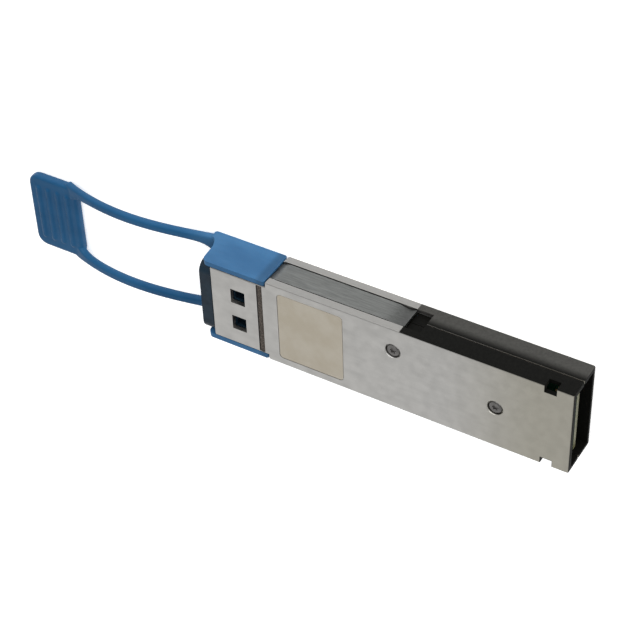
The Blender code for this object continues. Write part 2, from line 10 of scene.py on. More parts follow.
import bmesh
import bpy
from mathutils import Matrix, Quaternion, Vector


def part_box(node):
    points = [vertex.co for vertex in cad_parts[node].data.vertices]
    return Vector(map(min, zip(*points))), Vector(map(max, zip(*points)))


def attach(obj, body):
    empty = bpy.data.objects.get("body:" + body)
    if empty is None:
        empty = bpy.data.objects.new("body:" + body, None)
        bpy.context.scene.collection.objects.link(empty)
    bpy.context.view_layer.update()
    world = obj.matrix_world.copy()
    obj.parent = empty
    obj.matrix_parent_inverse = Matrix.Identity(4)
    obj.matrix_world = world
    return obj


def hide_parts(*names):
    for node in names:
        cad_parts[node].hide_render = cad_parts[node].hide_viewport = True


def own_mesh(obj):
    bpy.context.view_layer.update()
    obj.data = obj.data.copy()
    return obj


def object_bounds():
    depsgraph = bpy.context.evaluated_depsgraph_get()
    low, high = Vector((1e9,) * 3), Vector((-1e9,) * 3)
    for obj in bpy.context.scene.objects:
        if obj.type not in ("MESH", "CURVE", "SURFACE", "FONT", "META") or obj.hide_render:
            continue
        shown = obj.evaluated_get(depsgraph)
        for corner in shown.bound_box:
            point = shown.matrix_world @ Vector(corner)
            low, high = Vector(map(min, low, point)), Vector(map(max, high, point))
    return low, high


MM = 0.001
SIDES = {"left": 1, "right": -1}

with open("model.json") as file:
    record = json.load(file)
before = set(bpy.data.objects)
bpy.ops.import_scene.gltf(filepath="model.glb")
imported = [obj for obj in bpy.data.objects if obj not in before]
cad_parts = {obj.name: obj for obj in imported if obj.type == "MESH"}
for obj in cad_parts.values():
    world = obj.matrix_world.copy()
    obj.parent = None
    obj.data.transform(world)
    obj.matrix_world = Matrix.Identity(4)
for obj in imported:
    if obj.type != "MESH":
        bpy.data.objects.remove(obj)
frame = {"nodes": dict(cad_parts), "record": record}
cad_low, cad_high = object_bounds()

HOUSING = "module_body"
SLIDING = "delatch"
TOP = cad_high[2]
SEAM_Z = 4.4 * MM
PORT_Y = {"tx": 3.125 * MM, "rx": -3.125 * MM}
CONTACTS_PER_SIDE = 19
CONTACT_PITCH = 0.8 * MM
PAD_THICK = 0.035 * MM
CHIPS = (
    "retimer_chip_tx",
    "retimer_chip_rx",
    "laser_driver_chip",
    "receiver_amplifier_chip",
    "microcontroller_chip",
    "cooler_driver_chip",
)
CAPACITORS = ("tantalum_capacitor_1", "tantalum_capacitor_2")
INDUCTORS = ("power_inductor_1", "power_inductor_2")
TAB_BOTTOM = 0.15 * MM
TAB_ARM_X = (-72.5 * MM, -38.3 * MM)
TAB_ARM_Y = (7.05 * MM, 8.95 * MM)
TAB_ARM_THICK = 1.5 * MM
TAB_ARM_BASE = 0.95 * MM  # height of an arm's middle at its two ends
TAB_ARM_RISE = 2.7 * MM  # how far it arches above them
TAB_ARM_SKEW = 0.85  # below 1, the top of the arch is nearer the grip
GRIP_RIBS = 4
SHADE_FROM = 3.2  # millimetres along X; behind it the housing's side walls carry painted shade


# ---------------------------------------------------------------- camera, floor and light

CAMERA_AT = Vector((0.11897, 0.22449, 0.21870))
CAMERA_AIM = Vector((-0.01673, 0.00191, 0.00425))
CAMERA_ROLL = math.radians(-138.58)
CAMERA_LENS = 108.27
HORIZON, ZENITH = 0.86, 0.30  # brightness of the studio walls at floor level and overhead
FADE = (0.66, 0.95)  # sines of the elevations between which the one turns into the other


def make_camera():
    data = bpy.data.cameras.new("camera")
    data.lens = CAMERA_LENS
    data.clip_start = 0.01
    data.clip_end = 20
    camera = bpy.data.objects.new("camera", data)
    bpy.context.scene.collection.objects.link(camera)
    camera.location = CAMERA_AT
    level = (CAMERA_AT - CAMERA_AIM).to_track_quat("Z", "Y")
    camera.rotation_mode = "QUATERNION"
    camera.rotation_quaternion = level @ Quaternion((0, 0, 1), CAMERA_ROLL)
    bpy.context.scene.camera = camera


def soft_box(name, place, aim, size, power):
    data = bpy.data.lights.new(name, "AREA")
    data.shape = "RECTANGLE"
    data.size, data.size_y = size
    data.energy = power
    lamp = bpy.data.objects.new(name, data)
    bpy.context.scene.collection.objects.link(lamp)
    lamp.location = place
    lamp.rotation_euler = (Vector(aim) - Vector(place)).to_track_quat("-Z", "Y").to_euler()
    lamp.visible_camera = False


def make_studio():
    world = bpy.data.worlds.new("studio")
    bpy.context.scene.world = world
    world.use_nodes = True
    tree = world.node_tree
    backdrop = tree.nodes["Background"]
    backdrop.inputs["Color"].default_value = (1, 1, 1, 1)
    place = tree.nodes.new("ShaderNodeTexCoord")
    split = tree.nodes.new("ShaderNodeSeparateXYZ")
    fade = tree.nodes.new("ShaderNodeMapRange")
    fade.interpolation_type = "SMOOTHSTEP"
    limits = {"From Min": FADE[0], "From Max": FADE[1], "To Min": HORIZON, "To Max": ZENITH}
    for name, number in limits.items():
        fade.inputs[name].default_value = number
    tree.links.new(place.outputs["Generated"], split.inputs[0])
    tree.links.new(split.outputs[2], fade.inputs["Value"])
    tree.links.new(fade.outputs[0], backdrop.inputs["Strength"])
    centre = (-0.02, 0, 0)
    soft_box("key", (0.30, 0.90, 0.62), centre, (1.6, 1.6), 12.8)
    soft_box("sheen", (-0.42, -0.66, 0.635), centre, (0.75, 0.45), 0.2)

    mesh = bpy.data.meshes.new("floor")
    bm = bmesh.new()
    bmesh.ops.create_circle(bm, cap_ends=True, segments=96, radius=4.0)
    bm.to_mesh(mesh)
    bm.free()
    floor = bpy.data.objects.new("floor", mesh)
    floor.location.z = -0.02 * MM
    bpy.context.scene.collection.objects.link(floor)
    paper = bpy.data.materials.new("pale_paper")
    paper.use_nodes = True
    shader = paper.node_tree.nodes["Principled BSDF"]
    shader.inputs["Base Color"].default_value = (0.93, 0.93, 0.93, 1)
    shader.inputs["Roughness"].default_value = 0.9
    shader.inputs["Specular IOR Level"].default_value = 0.1
    shader.inputs["Emission Color"].default_value = (1, 1, 1, 1)
    shader.inputs["Emission Strength"].default_value = 0.47
    mesh.materials.append(paper)
    bpy.context.scene.view_settings.view_transform = "Standard"


# ---------------------------------------------------------------- finishes


class Finish:
    """A Principled material under construction. Its patterns lie in millimetres of the object."""

    def __init__(self, name, colour, roughness, metallic=0.0):
        self.material = bpy.data.materials.new(name)
        self.material.use_nodes = True
        self.tree = self.material.node_tree
        self.shader = self.tree.nodes["Principled BSDF"]
        self.set("Base Color", colour)
        self.set("Roughness", roughness)
        self.set("Metallic", metallic)
        place = self.node("ShaderNodeTexCoord")
        scale = self.node("ShaderNodeVectorMath", operation="SCALE")
        scale.inputs["Scale"].default_value = 1 / MM
        self.link(place.outputs["Object"], scale.inputs[0])
        self.mm = scale.outputs[0]
        split = self.node("ShaderNodeSeparateXYZ")
        self.link(self.mm, split.inputs[0])
        self.x, self.y, self.z = split.outputs
        self.height = None

    def node(self, kind, **settings):
        node = self.tree.nodes.new(kind)
        for key, value in settings.items():
            setattr(node, key, value)
        return node

    def link(self, start, end):
        self.tree.links.new(start, end)

    def feed(self, socket, value):
        """Links an output, or sets a plain value."""
        if isinstance(value, bpy.types.NodeSocket):
            self.link(value, socket)
        elif isinstance(value, tuple) and len(value) == 3 and socket.type == "RGBA":
            socket.default_value = (*value, 1.0)
        else:
            socket.default_value = value

    def set(self, name, value):
        self.feed(self.shader.inputs[name], value)

    def math(self, operation, *values, clamp=False):
        node = self.node("ShaderNodeMath", operation=operation, use_clamp=clamp)
        for socket, value in zip(node.inputs, values, strict=False):
            self.feed(socket, value)
        return node.outputs[0]

    def stretched(self, factors):
        node = self.node("ShaderNodeVectorMath", operation="MULTIPLY")
        self.link(self.mm, node.inputs[0])
        node.inputs[1].default_value = factors
        return node.outputs[0]

    def noise(self, size, detail=3.0, stretch=(1, 1, 1), roughness=0.55):
        """Cloudy pattern from 0 to 1 whose patches are about size millimetres across."""
        node = self.node("ShaderNodeTexNoise")
        node.inputs["Scale"].default_value = 1 / size
        node.inputs["Detail"].default_value = detail
        node.inputs["Roughness"].default_value = roughness
        self.link(self.stretched(stretch), node.inputs["Vector"])
        return node.outputs["Fac"]

    def cells(self, size, stretch=(1, 1, 1)):
        """Distance from the middles of cells about size millimetres across."""
        node = self.node("ShaderNodeTexVoronoi")
        node.inputs["Scale"].default_value = 1 / size
        self.link(self.stretched(stretch), node.inputs["Vector"])
        return node.outputs["Distance"]

    def ramp(self, value, low, high, start=0.0, end=1.0):
        """value from low to high becomes start to end, smoothly and with no overshoot."""
        node = self.node("ShaderNodeMapRange", interpolation_type="SMOOTHSTEP")
        self.link(value, node.inputs["Value"])
        limits = {"From Min": low, "From Max": high, "To Min": start, "To Max": end}
        for name, number in limits.items():
            node.inputs[name].default_value = number
        return node.outputs["Result"]

    def blend(self, share, first, second):
        node = self.node("ShaderNodeMix", data_type="RGBA")
        self.feed(node.inputs["Factor"], share)
        self.feed(node.inputs["A"], first)
        self.feed(node.inputs["B"], second)
        return node.outputs["Result"]

    def blend_value(self, share, first, second):
        node = self.node("ShaderNodeMix", data_type="FLOAT")
        self.feed(node.inputs["Factor"], share)
        self.feed(node.inputs["A"], first)
        self.feed(node.inputs["B"], second)
        return node.outputs["Result"]

    def near(self, value, middle, inner, outer):
        """1 within inner of the middle, 0 beyond outer."""
        away = self.math("ABSOLUTE", self.math("SUBTRACT", value, middle))
        return self.ramp(away, inner, outer, 1.0, 0.0)

    def overlap(self, first, *others):
        """1 where all the masks are."""
        for other in others:
            first = self.math("MULTIPLY", first, other)
        return first

    def union(self, first, *others):
        """1 where any of the masks is."""
        for other in others:
            first = self.math("MAXIMUM", first, other)
        return first

    def edges(self, radius, low=0.02, high=0.35):
        """1 along convex and concave edges, 0 on the faces between them."""
        round_normal = self.node("ShaderNodeBevel", samples=6)
        round_normal.inputs["Radius"].default_value = radius * MM
        true_normal = self.node("ShaderNodeNewGeometry").outputs["Normal"]
        dot = self.node("ShaderNodeVectorMath", operation="DOT_PRODUCT")
        self.link(round_normal.outputs[0], dot.inputs[0])
        self.link(true_normal, dot.inputs[1])
        return self.ramp(self.math("SUBTRACT", 1.0, dot.outputs["Value"]), low, high)

    def relief(self, pattern, height):
        """Adds bumps of a pattern, height in millimetres from its 0 to its 1."""
        node = self.node("ShaderNodeBump")
        node.inputs["Strength"].default_value = 1.0
        node.inputs["Distance"].default_value = height * MM
        self.link(pattern, node.inputs["Height"])
        if self.height is not None:
            self.link(self.height, node.inputs["Normal"])
        self.height = node.outputs[0]
        self.link(self.height, self.shader.inputs["Normal"])


def plated_casting(name, light, deep, flank_shade):
    """Nickel-plated zinc: satin, faintly mottled, with rubbed edges.

    Painted shade: the side walls are a darker copy of the plating, and behind the x given at the top they are
    near black above mid-height and dark grey lower down, as are the rear end, the inside and the notch.
    """
    outside_y, inside_y, inside_z = 9.0, 8.35, 3.38  # half sizes of the housing and of its inside
    middle_z, rear_x, notch_x = 4.25, 36.05, 31.9
    # painted shade colours: near black, and a dark grey for the lower part of the walls
    black, half_shade_grey = (0.003, 0.003, 0.0025), (0.055, 0.054, 0.050)
    finish = Finish(name, light, 0.36, 1.0)
    cloud = finish.ramp(finish.noise(4.0, 5.0), 0.25, 0.75)
    streak = finish.ramp(finish.noise(1.2, 2.0, stretch=(0.12, 1, 1)), 0.35, 0.65)
    tone = finish.blend(cloud, deep, light)
    tone = finish.blend(finish.math("MULTIPLY", streak, 0.3), tone, tuple(1.08 * c for c in light))
    aged = finish.math("MULTIPLY", finish.ramp(finish.x, 10.0, 31.0), 0.85)
    yellowed = tuple(c * w for c, w in zip(deep, (0.86, 0.83, 0.72), strict=True))
    tone = finish.blend(aged, tone, yellowed)
    across = finish.math("ABSOLUTE", finish.y)
    wall = finish.ramp(across, outside_y, outside_y + 0.1)
    # painted shade: the side walls take a darker copy of the plating
    tone = finish.blend(finish.math("MULTIPLY", wall, 0.9), tone, flank_shade)
    rubbed = finish.edges(0.22)
    tone = finish.blend(finish.math("MULTIPLY", rubbed, 0.45), tone, (0.64, 0.62, 0.59))
    # painted shade: near black on the side walls behind the given x, on the rear end, on the inside faces and
    # in the notch
    shaded_wall = finish.overlap(wall, finish.ramp(finish.x, SHADE_FROM, SHADE_FROM + 0.15))
    end = finish.ramp(finish.x, rear_x, rear_x + 0.1)
    hollow = finish.overlap(
        finish.near(finish.z, middle_z, inside_z, inside_z + 0.04),
        finish.near(finish.y, 0.0, inside_y, inside_y + 0.15),
    )
    notch = finish.overlap(
        finish.near(finish.x, notch_x, 1.13, 1.2),
        finish.ramp(across, 7.6, 7.66),
        finish.ramp(finish.z, 6.4, 6.5),
    )
    dark = finish.union(shaded_wall, end, hollow, notch)
    speck = finish.ramp(finish.noise(0.5, 3.0), 0.35, 0.75)
    shade_tone = finish.blend(speck, black, tuple(1.6 * c for c in black))
    # the lower part of the side walls gets a dark grey painted shade instead of the black
    low_wall = finish.math("MULTIPLY", shaded_wall, finish.ramp(finish.z, 2.2, 4.4, 1.0, 0.0))
    low_tone = finish.blend(speck, half_shade_grey, tuple(0.8 * c for c in half_shade_grey))
    shade_tone = finish.blend(low_wall, shade_tone, low_tone)
    finish.set("Base Color", finish.blend(dark, tone, shade_tone))
    finish.set("Metallic", finish.ramp(dark, 0.2, 0.8, 1.0, 0.0))
    finish.set("Specular IOR Level", 0.05)
    satin = finish.ramp(finish.noise(1.8, 4.0), 0.3, 0.7, 0.32, 0.42)
    finish.set("Roughness", finish.blend_value(dark, satin, 0.6))
    finish.relief(finish.noise(0.22, 3.0), 0.004)
    finish.relief(finish.noise(3.0, 2.0), 0.008)
    return finish.material


def moulded_blue():
    """Blue moulded tab: spark-eroded texture, flow marks, paler rubbed edges, painted shade on the grip and
    arms, painted light on the collar and a painted shade band along the collar's rear edge.
    """
    finish = Finish("blue_moulding", (0.02, 0.085, 0.2), 0.42, 0.0)
    finish.set("Specular IOR Level", 0.15)
    flow = finish.ramp(finish.noise(6.0, 3.0, stretch=(0.4, 1, 1)), 0.3, 0.7)
    # painted light and shade: the collar's cheeks, which face the key light, take a lighter copy of the blue,
    # the grip and arms a deeper one
    grip = finish.blend(flow, (0.006, 0.058, 0.142), (0.011, 0.078, 0.180))
    collar = finish.blend(flow, (0.0236, 0.094, 0.206), (0.0367, 0.127, 0.257))
    tone = finish.blend(finish.ramp(finish.x, -46.0, -37.5), grip, collar)
    # painted shade: a darker band along the rear edge of the collar
    lip_shade = finish.ramp(finish.x, -26.4, -25.2, 0.0, 0.45)
    tone = finish.blend(lip_shade, tone, (0.008, 0.035, 0.075))
    rubbed = finish.math("MULTIPLY", finish.edges(0.5, 0.03, 0.5), 0.45)
    finish.set("Base Color", finish.blend(rubbed, tone, (0.035, 0.14, 0.30)))
    finish.set("Roughness", finish.ramp(finish.noise(0.8, 4.0), 0.3, 0.7, 0.36, 0.5))
    finish.relief(finish.noise(0.16, 2.0), 0.008)
    return finish.material


def moulded_black():
    """Black moulding with a blue cast and a spark-eroded texture."""
    finish = Finish("black_moulding", (0.007, 0.013, 0.02), 0.4, 0.0)
    finish.set("Specular IOR Level", 0.18)
    tone = finish.ramp(finish.noise(2.5, 3.0), 0.3, 0.7)
    finish.set("Base Color", finish.blend(tone, (0.003, 0.011, 0.021), (0.007, 0.020, 0.034)))
    finish.set("Roughness", finish.ramp(finish.noise(0.7, 3.0), 0.3, 0.7, 0.34, 0.48))
    finish.relief(finish.noise(0.14, 2.0), 0.005)
    return finish.material


def sheet_steel(name, colour, roughness, grain=(0.06, 1, 1), shade_from=None):
    """Rolled or ground steel with a grain along X, brighter on its edges and, from a given x on, darker with
    painted shade.
    """
    finish = Finish(name, colour, roughness, 1.0)
    lines = finish.noise(0.16, 3.0, stretch=grain)
    dull, bright = (tuple(share * c for c in colour) for share in (0.82, 1.15))
    tone = finish.blend(finish.ramp(lines, 0.3, 0.7), dull, bright)
    tone = finish.blend(finish.math("MULTIPLY", finish.edges(0.12), 0.5), tone, (0.6, 0.6, 0.59))
    if shade_from is not None:
        # painted shade, deepening over 5 mm from the given x on
        shade = finish.ramp(finish.x, shade_from, shade_from + 5, 0, 0.6)
        tone = finish.blend(shade, tone, (0.03, 0.03, 0.03))
    finish.set("Base Color", tone)
    gloss = finish.ramp(finish.noise(1.5, 3.0), 0.3, 0.7, roughness - 0.07, roughness + 0.08)
    finish.set("Roughness", gloss)
    finish.relief(lines, 0.003)
    return finish.material


def conductive_elastomer():
    """Dark filled rubber with a fine knitted skin."""
    finish = Finish("conductive_elastomer", (0.12, 0.1, 0.085), 0.7, 0.1)
    finish.set("Specular IOR Level", 0.2)
    knit = finish.cells(0.22, stretch=(1, 0.7, 1))
    thread = finish.ramp(knit, 0.1, 0.6)
    finish.set("Base Color", finish.blend(thread, (0.15, 0.125, 0.105), (0.05, 0.042, 0.036)))
    finish.relief(knit, 0.04)
    return finish.material


def label_film():
    """Blank satin film: warm grey, very slightly cloudy, with a soft orange peel."""
    finish = Finish("label_film", (0.46, 0.44, 0.38), 0.42, 0.0)
    cloud = finish.ramp(finish.noise(5.0, 3.0), 0.3, 0.7)
    finish.set("Base Color", finish.blend(cloud, (0.355, 0.315, 0.245), (0.40, 0.365, 0.30)))
    finish.set("Roughness", finish.ramp(finish.noise(1.2, 3.0), 0.3, 0.7, 0.36, 0.48))
    finish.relief(finish.noise(0.9, 2.0), 0.003)
    return finish.material


def gold_plating():
    """Thin satin gold, a little cloudy."""
    finish = Finish("gold_plating", (0.83, 0.56, 0.2), 0.36, 0.75)
    cloud = finish.ramp(finish.noise(0.9, 3.0), 0.3, 0.7)
    finish.set("Base Color", finish.blend(cloud, (0.78, 0.5, 0.15), (0.92, 0.64, 0.25)))
    finish.set("Roughness", finish.ramp(finish.noise(0.4, 3.0), 0.3, 0.7, 0.3, 0.44))
    finish.relief(finish.noise(0.1, 2.0), 0.002)
    return finish.material


def board_laminate():
    """Green solder mask over copper traces that run lengthwise, bare fibreglass on the cut edges."""
    finish = Finish("board_laminate", (0.01, 0.1, 0.04), 0.35, 0.0)
    lanes = finish.math("FRACT", finish.math("MULTIPLY", finish.y, 1.25))
    trace = finish.overlap(finish.ramp(lanes, 0.28, 0.34), finish.ramp(lanes, 0.62, 0.68, 1.0, 0.0))
    area = finish.ramp(finish.noise(3.4, 1.0, stretch=(0.5, 1, 1)), 0.46, 0.5)
    copper = finish.math("MULTIPLY", trace, area)
    mask = finish.blend(copper, (0.003, 0.026, 0.012), (0.010, 0.065, 0.026))
    normal = finish.node("ShaderNodeNewGeometry").outputs["Normal"]
    up = finish.node("ShaderNodeSeparateXYZ")
    finish.link(normal, up.inputs[0])
    flat = finish.ramp(finish.math("ABSOLUTE", up.outputs[2]), 0.5, 0.8)
    weave = finish.blend(finish.noise(0.3, 2.0), (0.075, 0.075, 0.035), (0.14, 0.13, 0.065))
    finish.set("Base Color", finish.blend(flat, weave, mask))
    finish.relief(copper, 0.03)
    finish.relief(finish.noise(0.15, 2.0), 0.003)
    return finish.material


def flex_film():
    """Amber polyimide with copper lines along its length."""
    finish = Finish("flex_film", (0.5, 0.22, 0.04), 0.32, 0.0)
    lanes = finish.math("FRACT", finish.math("MULTIPLY", finish.y, 2.2))
    line = finish.overlap(finish.ramp(lanes, 0.25, 0.33), finish.ramp(lanes, 0.67, 0.75, 1.0, 0.0))
    finish.set("Base Color", finish.blend(line, (0.48, 0.2, 0.03), (0.66, 0.34, 0.12)))
    finish.relief(line, 0.02)
    return finish.material


def fine_matte(name, low, high, roughness, size=0.3, bump=0.01, metallic=0.0):
    """A matte body such as a chip package, ferrite, ceramic, resin or pad."""
    finish = Finish(name, low, roughness, metallic)
    cloud = finish.ramp(finish.noise(size, 4.0), 0.3, 0.7)
    finish.set("Base Color", finish.blend(cloud, low, high))
    gloss = finish.ramp(finish.noise(size * 2, 3.0), 0.3, 0.7, roughness - 0.06, roughness + 0.06)
    finish.set("Roughness", gloss)
    finish.relief(finish.noise(size * 0.6, 3.0), bump)
    return finish.material


# ---------------------------------------------------------------- shapes


def mesh_object(name, bm):
    mesh = bpy.data.meshes.new(name)
    bmesh.ops.recalc_face_normals(bm, faces=bm.faces)
    bm.to_mesh(mesh)
    bm.free()
    obj = bpy.data.objects.new(name, mesh)
    bpy.context.scene.collection.objects.link(obj)
    return obj


def block(x, y, z):
    """A box between two x, two y and two z values."""
    size = [high - low for low, high in (x, y, z)]
    centre = Vector([(low + high) / 2 for low, high in (x, y, z)])
    bm = bmesh.new()
    bmesh.ops.create_cube(bm, size=1.0, matrix=Matrix.Translation(centre) @ Matrix.Diagonal((*size, 1.0)))
    return mesh_object("block", bm)


def cone(start, end, start_radius, end_radius, sides=48):
    start, end = Vector(start), Vector(end)
    turn = (end - start).to_track_quat("Z", "Y").to_matrix().to_4x4()
    bm = bmesh.new()
    bmesh.ops.create_cone(
        bm,
        cap_ends=True,
        segments=sides,
        radius1=start_radius,
        radius2=end_radius,
        depth=(end - start).length,
        matrix=Matrix.Translation((start + end) / 2) @ turn,
    )
    return mesh_object("cone", bm)


def skin(name, rings, closed=False):
    """A solid through rings of points. A closed one joins its last ring to its first, like a tyre."""
    bm = bmesh.new()
    rows = [[bm.verts.new(point) for point in ring] for ring in rings]
    count = len(rows[0])
    pairs = list(zip(rows, rows[1:], strict=False)) + ([(rows[-1], rows[0])] if closed else [])
    for row, following in pairs:
        for i in range(count):
            j = (i + 1) % count
            bm.faces.new((row[i], row[j], following[j], following[i]))
    if not closed:
        bm.faces.new(rows[0][::-1])
        bm.faces.new(rows[-1])
    return mesh_object(name, bm)


def prism(outline, span, plane="XY"):
    """A closed outline in a plane, extruded over a span of the third axis."""
    order = {"XY": (0, 1, 2), "XZ": (0, 2, 1), "YZ": (2, 0, 1)}[plane]
    rings = [[[(u, v, w)[i] for i in order] for u, v in outline] for w in span]
    return skin("prism", rings)


def turned(name, profile, y, z, steps=72):
    """A solid turned about a line along X from a closed profile of (x, radius) points."""
    rings = []
    for step in range(steps):
        angle = 2 * math.pi * step / steps
        rings.append([(x, y + r * math.cos(angle), z + r * math.sin(angle)) for x, r in profile])
    return skin(name, rings, closed=True)


def rounded_rectangle(u, v, radius, steps=8):
    """Corner points, anticlockwise, of a rectangle with round corners."""
    centres = (
        (u[1] - radius, v[1] - radius),
        (u[0] + radius, v[1] - radius),
        (u[0] + radius, v[0] + radius),
        (u[1] - radius, v[0] + radius),
    )
    points = []
    for corner, (cu, cv) in enumerate(centres):
        for step in range(steps + 1):
            angle = math.pi / 2 * (corner + step / steps)
            points.append((cu + radius * math.cos(angle), cv + radius * math.sin(angle)))
    return points


def filleted(path, radius, steps=6, closed=False):
    """The same 2D path with its corners rounded off."""
    path = [Vector(point) for point in path]
    rounded = [] if closed else [path[0]]
    inner = range(len(path)) if closed else range(1, len(path) - 1)
    for i in inner:
        before, corner, after = path[i - 1], path[i], path[(i + 1) % len(path)]
        reach = min(radius, (before - corner).length / 2, (after - corner).length / 2)
        start = corner + (before - corner).normalized() * reach
        end = corner + (after - corner).normalized() * reach
        for step in range(steps + 1):
            t = step / steps
            rounded.append(start * (1 - t) ** 2 + corner * 2 * t * (1 - t) + end * t**2)
    if not closed:
        rounded.append(path[-1])
    return rounded


def ribbon(path, width):
    """The outline of a strip of even width along a path of 2D points."""
    left, right = [], []
    for i, point in enumerate(path):
        before = (point - path[max(i - 1, 0)]).normalized()
        after = (path[min(i + 1, len(path) - 1)] - point).normalized()
        along = (before + after).normalized()
        across = Vector((-along.y, along.x))
        left.append(point + across * width / 2)
        right.append(point - across * width / 2)
    return left + right[::-1]


def settle(obj):
    """Applies the modifiers, so that the mesh is final."""
    bpy.context.view_layer.update()
    graph = bpy.context.evaluated_depsgraph_get()
    mesh = bpy.data.meshes.new_from_object(obj.evaluated_get(graph))
    obj.modifiers.clear()
    obj.data = mesh
    return obj


def combine(obj, tools, operation):
    for tool in tools:
        modifier = obj.modifiers.new("shape", "BOOLEAN")
        modifier.operation = operation
        modifier.solver = "EXACT"
        modifier.object = tool
        settle(obj)
        bpy.data.objects.remove(tool, do_unlink=True)
    return obj


def cut(obj, *tools):
    return combine(obj, tools, "DIFFERENCE")


def join(obj, *tools):
    return combine(obj, tools, "UNION")


def merge_flat(bm, tolerance=1.0):
    """Welds the corners and merges faces that lie in one plane."""
    bmesh.ops.remove_doubles(bm, verts=bm.verts, dist=0.001 * MM)
    bmesh.ops.dissolve_limit(bm, angle_limit=math.radians(tolerance), verts=bm.verts, edges=bm.edges)


def smooth(obj, angle=32):
    """Smooth shading up to the angle, led by the larger faces so that flat ones look flat."""
    obj.data.shade_smooth()
    obj.data.set_sharp_from_angle(angle=math.radians(angle))
    modifier = obj.modifiers.new("flat faces", "WEIGHTED_NORMAL")
    modifier.keep_sharp = True
    modifier.weight = 100
    return settle(obj)


def soften(obj, width, segments=2, angle=30):
    """Breaks every edge sharper than the angle, as a deburred or moulded edge is."""
    bm = bmesh.new()
    bm.from_mesh(obj.data)
    merge_flat(bm)
    bm.to_mesh(obj.data)
    bm.free()
    bevel = obj.modifiers.new("soft edges", "BEVEL")
    bevel.width = width
    bevel.segments = segments
    bevel.limit_method = "ANGLE"
    bevel.angle_limit = math.radians(angle)
    bevel.miter_outer = "MITER_ARC"
    return smooth(settle(obj))


def from_cad(node):
    """A new object with the shape of a CAD node."""
    bm = bmesh.new()
    bm.from_mesh(frame["nodes"][node].data)
    merge_flat(bm)
    return mesh_object("from_" + node, bm)


def gathered(name, parts):
    """One object that holds several separate solids."""
    bm = bmesh.new()
    for part in parts:
        bm.from_mesh(part.data)
        bpy.data.objects.remove(part, do_unlink=True)
    return mesh_object(name, bm)


def present(obj, name, body, finish, slot, *stands_for):
    """Names a finished piece, gives it its finish and lets it ride on its body."""
    obj.name = name
    obj.data.name = name
    obj.data.materials.clear()
    obj.data.materials.append(finish)
    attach(obj, body)
    if stands_for:
        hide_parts(*stands_for)
    return obj


# ---------------------------------------------------------------- housing

MATERIAL_SLOT = {row["node"]: row["material_slot"] for row in frame["record"]["subparts"]}


def finished(node, body, finish, width, shape=None, segments=2):
    """A CAD node's shape with its finer details, then with its edges broken."""
    obj = from_cad(node)
    if shape:
        shape(obj)
    soften(obj, width, segments)
    return present(obj, node + "_finished", body, finish, MATERIAL_SLOT[node], node)


def screw_places():
    """Where the case screws are: the plan positions of their axes."""
    places = []
    for node in ("case_screw_front", "case_screw_rear"):
        low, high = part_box(node)
        places.append((node, (low[0] + high[0]) / 2, (low[1] + high[1]) / 2))
    return places


def shape_cover(cover):
    """Countersunk edges of the screw wells."""
    for _, x, y in screw_places():
        cut(cover, cone((x, y, TOP - 0.16 * MM), (x, y, TOP + 0.04 * MM), 1.46 * MM, 1.70 * MM, sides=64))


def shape_base(base):
    """A shallow groove that frames the lapped field of the heat-sink face."""
    field = rounded_rectangle((-20.5 * MM, 34.0 * MM), (-7.6 * MM, 7.6 * MM), 1.0 * MM)
    inner = rounded_rectangle((-20.2 * MM, 33.7 * MM), (-7.3 * MM, 7.3 * MM), 0.8 * MM)
    frame_groove = cut(prism(field, (-1 * MM, 0.08 * MM)), prism(inner, (-2 * MM, 1 * MM)))
    cut(base, frame_groove)


def make_housing(looks):
    finished("upper_cover", HOUSING, looks["cover"], 0.09 * MM, shape_cover)
    finished("lower_housing", HOUSING, looks["base"], 0.09 * MM, shape_base)
    finished("blank_label", HOUSING, looks["label"], 0.03 * MM)
    for node, x, y in screw_places():
        head = turned_screw(node, x, y)
        present(head, node + "_finished", HOUSING, looks["screw"], MATERIAL_SLOT[node], node)
    for node, up in (("emi_gasket_upper", 1), ("emi_gasket_lower", -1)):
        present(gasket_strip(node, up), node + "_woven", HOUSING, looks["rubber"], MATERIAL_SLOT[node], node)
    for side in SIDES:
        finished("seam_gasket_" + side, HOUSING, looks["rubber"], 0.06 * MM)


def turned_screw(node, x, y, lobes=6, steps=96):
    """A low head with a chamfered rim and a six-lobed socket, on a plain shank."""
    low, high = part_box(node)
    top, seat = high[2], high[2] - 0.5 * MM
    radius = (high[0] - low[0]) / 2
    profile = (
        (low[2], 0.45 * MM),
        (low[2] + 0.2 * MM, 0.6 * MM),
        (seat, 0.6 * MM),
        (seat, radius - 0.06 * MM),
        (seat + 0.08 * MM, radius),
        (top - 0.2 * MM, radius),
        (top - 0.06 * MM, radius - 0.12 * MM),
        (top, radius - 0.3 * MM),
    )
    rings = []
    for z, r in profile:
        turns = [2 * math.pi * i / steps for i in range(steps)]
        rings.append([(x + r * math.cos(a), y + r * math.sin(a), z) for a in turns])
    head = skin(node, rings)
    outline = []
    for i in range(steps):
        angle = 2 * math.pi * i / steps
        r = (0.56 + 0.09 * math.cos(lobes * angle)) * MM
        outline.append((x + r * math.cos(angle), y + r * math.sin(angle)))
    cut(head, prism(outline, (top - 0.32 * MM, top + 1 * MM)))
    cut(head, cone((x, y, top - 0.08 * MM), (x, y, top + 0.04 * MM), 0.55 * MM, 0.74 * MM))
    return smooth(head, 25)


